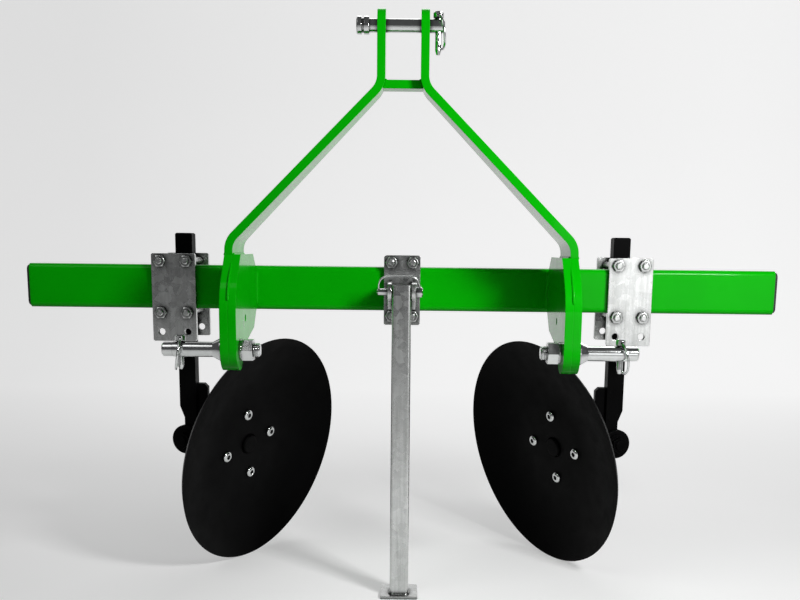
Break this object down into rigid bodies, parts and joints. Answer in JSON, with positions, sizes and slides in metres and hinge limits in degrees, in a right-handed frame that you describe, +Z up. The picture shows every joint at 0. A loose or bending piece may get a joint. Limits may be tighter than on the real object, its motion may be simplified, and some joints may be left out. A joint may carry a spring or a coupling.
{
  "type": "tractor disc ridger",
  "caption": "Three-point mounted ridger: green toolbar with triangular headstock, two angled concave discs on sliding clamps, and a parking stand.",
  "frame": {"origin": "on the ground under the middle of the object's outline", "axes": "+X along the toolbar to the right as the picture shows it, +Y away from the tractor, +Z up"},
  "size_m": [1.21, 0.5106, 0.8958],
  "materials": {
    "green_paint": "gloss",
    "black_paint": "satin",
    "galvanised": "dull zinc",
    "bright_zinc": "bright zinc plate",
    "bearing_steel": "ground",
    "black_plastic": "matt"
  },
  "bodies": {
    "frame": {"toolbar": "green_paint", "left_end_plug": "black_plastic", "right_end_plug": "black_plastic", "left_headstock_bar": "green_paint", "right_headstock_bar": "green_paint", "headstock_bridge": "green_paint", "left_hitch_plate": "green_paint", "right_hitch_plate": "green_paint", "left_hitch_doubler": "green_paint", "right_hitch_doubler": "green_paint", "left_lower_pin": "bright_zinc", "right_lower_pin": "bright_zinc", "left_lower_pin_nut": "bright_zinc", "right_lower_pin_nut": "bright_zinc", "left_linch_pin": "bright_zinc", "right_linch_pin": "bright_zinc", "top_link_pin": "bright_zinc", "top_linch_pin": "bright_zinc", "stand_bracket": "galvanised", "stand_back_plate": "galvanised", "stand_bolts": "galvanised", "stand_nuts": "galvanised", "stand_lock_pin": "bright_zinc"},
    "stand_unit": {"stand_leg": "galvanised", "stand_foot": "galvanised"},
    "lock_wire_unit": {"stand_lock_wire": "bright_zinc"},
    "left_ring_unit": {"left_linch_ring": "bright_zinc"},
    "right_ring_unit": {"right_linch_ring": "bright_zinc"},
    "top_ring_unit": {"top_linch_ring": "bright_zinc"},
    "left_clamp_unit": {"left_clamp_front_plate": "galvanised", "left_clamp_rear_plate": "galvanised", "left_clamp_bolts": "galvanised", "left_clamp_nuts": "galvanised"},
    "left_shank_unit": {"left_shank": "black_paint", "left_pivot_bracket": "black_paint"},
    "left_arm_unit": {"left_disc_arm": "black_paint", "left_tilt_nut": "black_paint", "left_axle_nut": "bright_zinc"},
    "left_disc_unit": {"left_hub": "black_paint", "left_hub_bearing": "bearing_steel", "left_dust_cap": "black_paint", "left_disc": "black_paint", "left_disc_bolts": "bright_zinc", "left_disc_nuts": "bright_zinc"},
    "right_clamp_unit": {"right_clamp_front_plate": "galvanised", "right_clamp_rear_plate": "galvanised", "right_clamp_bolts": "galvanised", "right_clamp_nuts": "galvanised"},
    "right_shank_unit": {"right_shank": "black_paint", "right_pivot_bracket": "black_paint"},
    "right_arm_unit": {"right_disc_arm": "black_paint", "right_tilt_nut": "black_paint", "right_axle_nut": "bright_zinc"},
    "right_disc_unit": {"right_hub": "black_paint", "right_hub_bearing": "bearing_steel", "right_dust_cap": "black_paint", "right_disc": "black_paint", "right_disc_bolts": "bright_zinc", "right_disc_nuts": "bright_zinc"}
  },
  "joints": [
    {"name": "left_clamp_slide", "type": "slide", "parent": "frame", "child": "left_clamp_unit", "axis": [-1, 0, 0], "range_m": [-0.06, 0.185]},
    {"name": "left_shank_height", "type": "slide", "parent": "left_clamp_unit", "child": "left_shank_unit", "axis": [0, 0, 1], "range_m": [-0.05, 0.04]},
    {"name": "left_disc_tilt", "type": "hinge", "parent": "left_shank_unit", "child": "left_arm_unit", "pos_m": [-0.366, 0.02602, 0.23177], "axis": [0.2756, 0.9613, 0], "range_deg": [-10, 10]},
    {"name": "left_disc_spin", "type": "hinge", "parent": "left_arm_unit", "child": "left_disc_unit", "pos_m": [-0.33623, 0.12984, 0.22127], "axis": [0.8458, -0.4982, -0.1908], "continuous": true},
    {"name": "left_ring_swing", "type": "hinge", "parent": "frame", "child": "left_ring_unit", "pos_m": [-0.321, -0.22528, 0.42877], "axis": [-0.1736, 0.9848, 0], "range_deg": [0, 140]},
    {"name": "right_clamp_slide", "type": "slide", "parent": "frame", "child": "right_clamp_unit", "axis": [1, 0, 0], "range_m": [-0.06, 0.185]},
    {"name": "right_shank_height", "type": "slide", "parent": "right_clamp_unit", "child": "right_shank_unit", "axis": [0, 0, 1], "range_m": [-0.05, 0.04]},
    {"name": "right_disc_tilt", "type": "hinge", "parent": "right_shank_unit", "child": "right_arm_unit", "pos_m": [0.366, 0.02602, 0.23177], "axis": [-0.2756, 0.9613, 0], "range_deg": [-10, 10]},
    {"name": "right_disc_spin", "type": "hinge", "parent": "right_arm_unit", "child": "right_disc_unit", "pos_m": [0.33623, 0.12984, 0.22127], "axis": [-0.8458, -0.4982, -0.1908], "continuous": true},
    {"name": "right_ring_swing", "type": "hinge", "parent": "frame", "child": "right_ring_unit", "pos_m": [0.321, -0.22528, 0.42877], "axis": [0.1736, -0.9848, 0], "range_deg": [0, 140]},
    {"name": "top_ring_swing", "type": "hinge", "parent": "frame", "child": "top_ring_unit", "pos_m": [0.0495, -0.18227, 0.88727], "axis": [0.1736, -0.9848, 0], "range_deg": [0, 140]},
    {"name": "stand_swing", "type": "hinge", "parent": "frame", "child": "stand_unit", "pos_m": [0, -0.11227, 0.49377], "axis": [-1, 0, 0], "range_deg": [0, 90]},
    {"name": "lock_wire_swing", "type": "hinge", "parent": "frame", "child": "lock_wire_unit", "pos_m": [0, -0.11227, 0.49377], "axis": [1, 0, 0], "range_deg": [-45, 25]}
  ]
}
